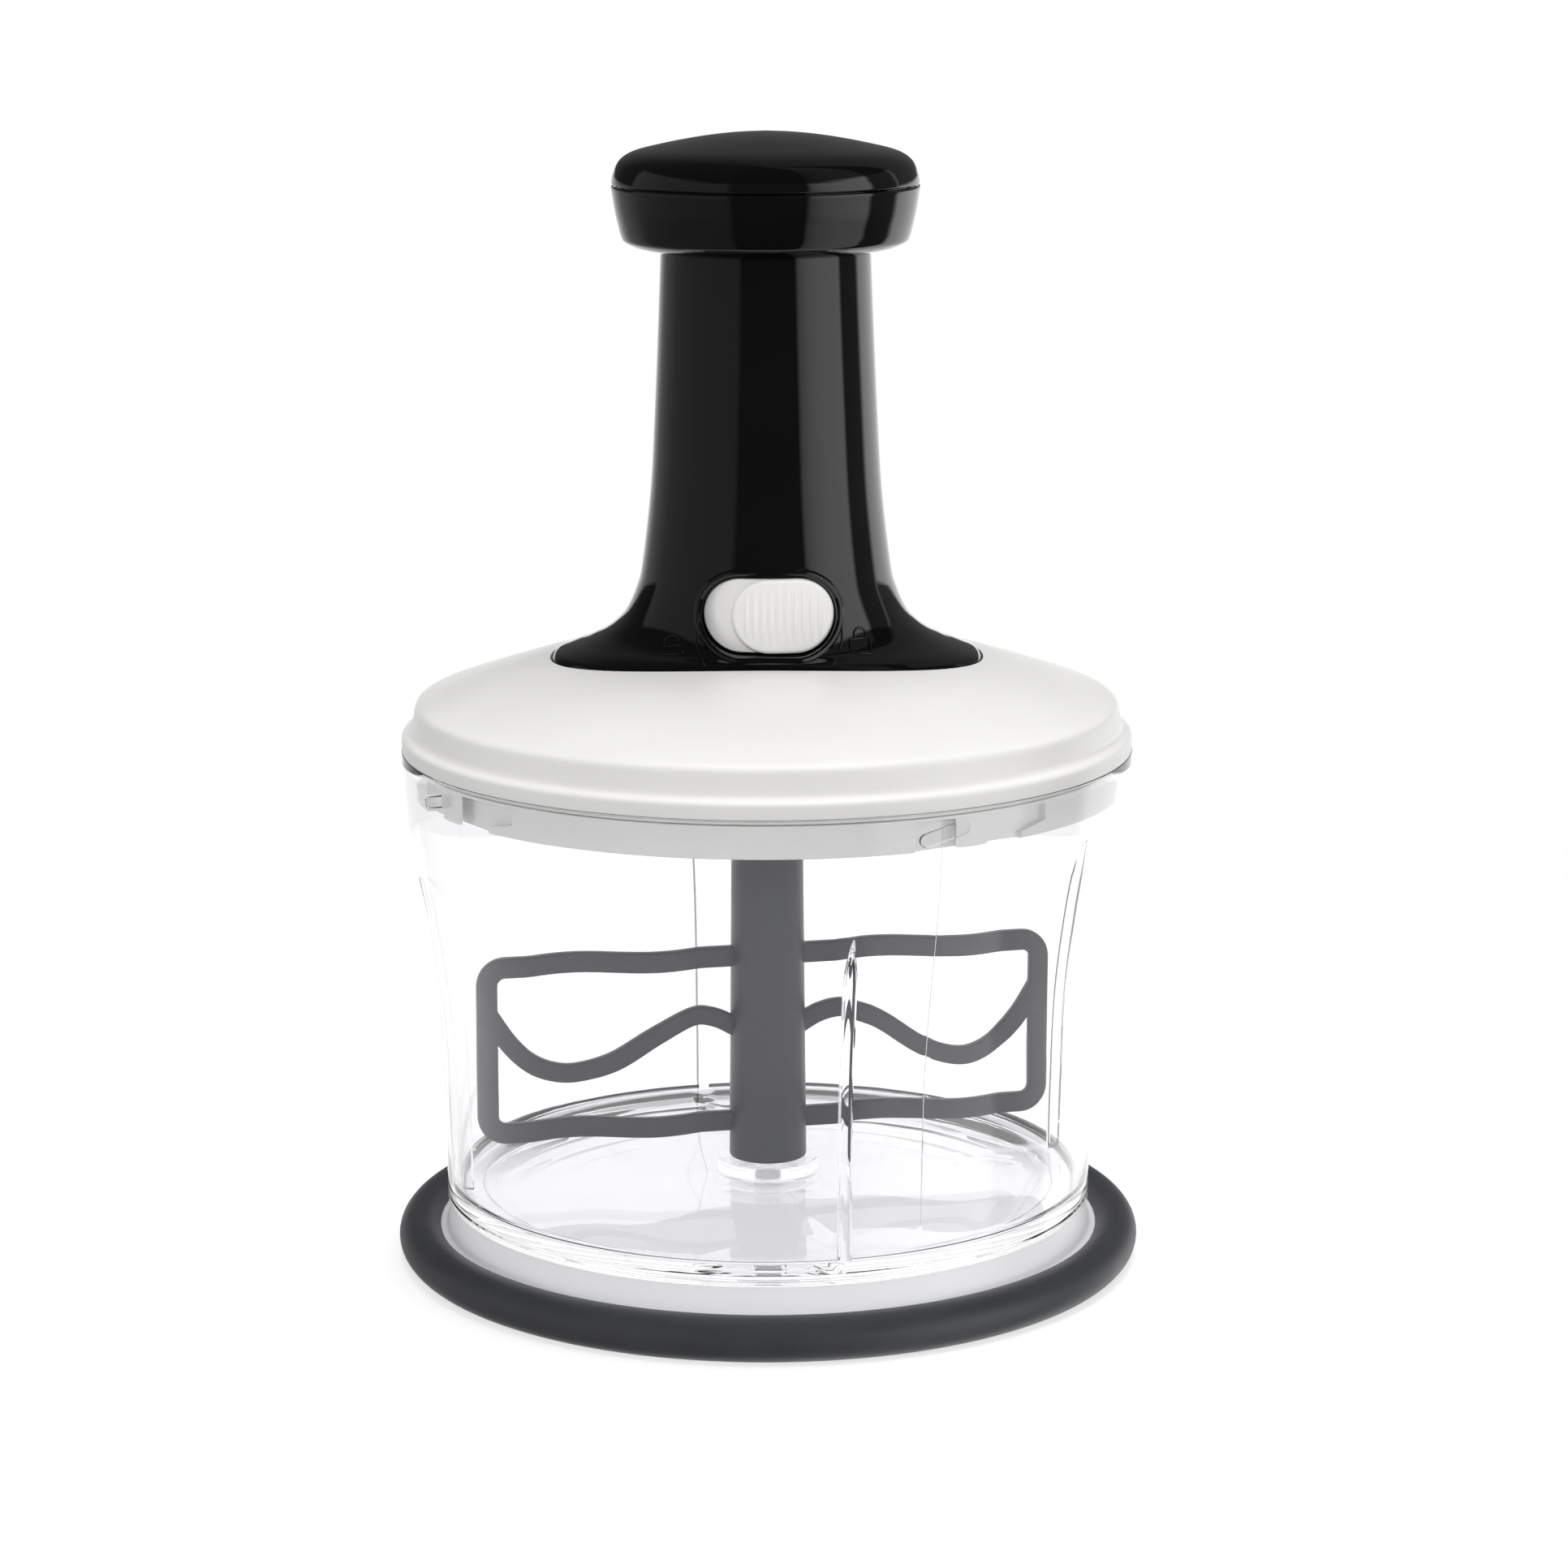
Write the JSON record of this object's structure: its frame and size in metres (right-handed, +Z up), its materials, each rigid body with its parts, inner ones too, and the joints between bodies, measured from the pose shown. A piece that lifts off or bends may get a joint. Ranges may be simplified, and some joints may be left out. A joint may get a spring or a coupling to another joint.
{
  "type": "food chopper",
  "caption": "Hand-pressed food chopper with a clear bowl, a white lid with a black handle column and press knob, and a grey whisk turned by a twisted rod.",
  "frame": {"origin": "on the floor under the bowl's centre line, on the plane that the grip ring stands on", "axes": "+Z up along the bowl, column and knob; -Y is the front, with the lock button; +X is to the viewer's right"},
  "size_m": [0.165, 0.165, 0.2475],
  "materials": {
    "black_plastic": "glossy black ABS",
    "white_plastic": "satin white ABS",
    "clear_plastic": "clear polycarbonate",
    "grey_plastic": "satin grey nylon",
    "ring_rubber": "matt grey rubber",
    "seal_silicone": "white silicone",
    "inner_nylon": "natural acetal",
    "steel": "bright steel"
  },
  "bodies": {
    "base": {"base_plate": "white_plastic", "grip_ring": "ring_rubber"},
    "bowl": {"bowl": "clear_plastic", "spindle_pin": "steel"},
    "seal": {"lid_seal": "seal_silicone"},
    "lid": {"lid_cover": "white_plastic", "lid_plate": "white_plastic", "handle_column": "black_plastic", "guide_bush": "inner_nylon", "lock_plate": "white_plastic", "drive_housing": "inner_nylon", "shaft_bush": "inner_nylon", "return_spring": "steel", "column_screw_1": "steel", "column_screw_2": "steel", "column_screw_3": "steel", "column_screw_4": "steel"},
    "lock": {"lock_button": "white_plastic", "latch_slider": "inner_nylon"},
    "plunger": {"knob_cap": "black_plastic", "knob_base": "black_plastic", "plunger_sleeve": "black_plastic", "drive_rod": "inner_nylon", "rod_screw": "steel", "sleeve_screw_1": "steel", "sleeve_screw_2": "steel", "sleeve_screw_3": "steel"},
    "drive": {"output_shaft": "inner_nylon", "drive_nut": "inner_nylon", "clutch_spring": "steel", "thrust_washer": "steel", "retaining_ring": "steel"},
    "whisk": {"whisk": "grey_plastic"}
  },
  "joints": [
    {"name": "bowl_lift", "type": "slide", "parent": "base", "child": "bowl", "axis": [0, 0, 1], "range_m": [0, 0.03]},
    {"name": "lid_lift", "type": "slide", "parent": "bowl", "child": "seal", "axis": [0, 0, 1], "range_m": [0, 0.05]},
    {"name": "lid_turn", "type": "hinge", "parent": "seal", "child": "lid", "pos_m": [0, 0, 0.11], "axis": [0, 0, 1], "range_deg": [-15, 0]},
    {"name": "lock_slide", "type": "hinge", "parent": "lid", "child": "lock", "pos_m": [0, 0, 0.147], "axis": [0, 0, 1], "range_deg": [-13.5, 0]},
    {"name": "plunger_press", "type": "slide", "parent": "lid", "child": "plunger", "axis": [0, 0, 1], "range_m": [0, 0.05], "deforming": ["return_spring"]},
    {"name": "drive_spin", "type": "hinge", "parent": "lid", "child": "drive", "pos_m": [0, 0, 0.12], "axis": [0, 0, 1], "range_deg": [-600, 0]},
    {"name": "whisk_spin", "type": "hinge", "parent": "bowl", "child": "whisk", "pos_m": [0, 0, 0.03], "axis": [0, 0, 1], "range_deg": [-600, 0]}
  ],
  "couplings": [
    {"joint": "drive_spin", "follows": "plunger_press", "rad_per_m": -209.44},
    {"joint": "whisk_spin", "follows": "plunger_press", "rad_per_m": -209.44}
  ]
}
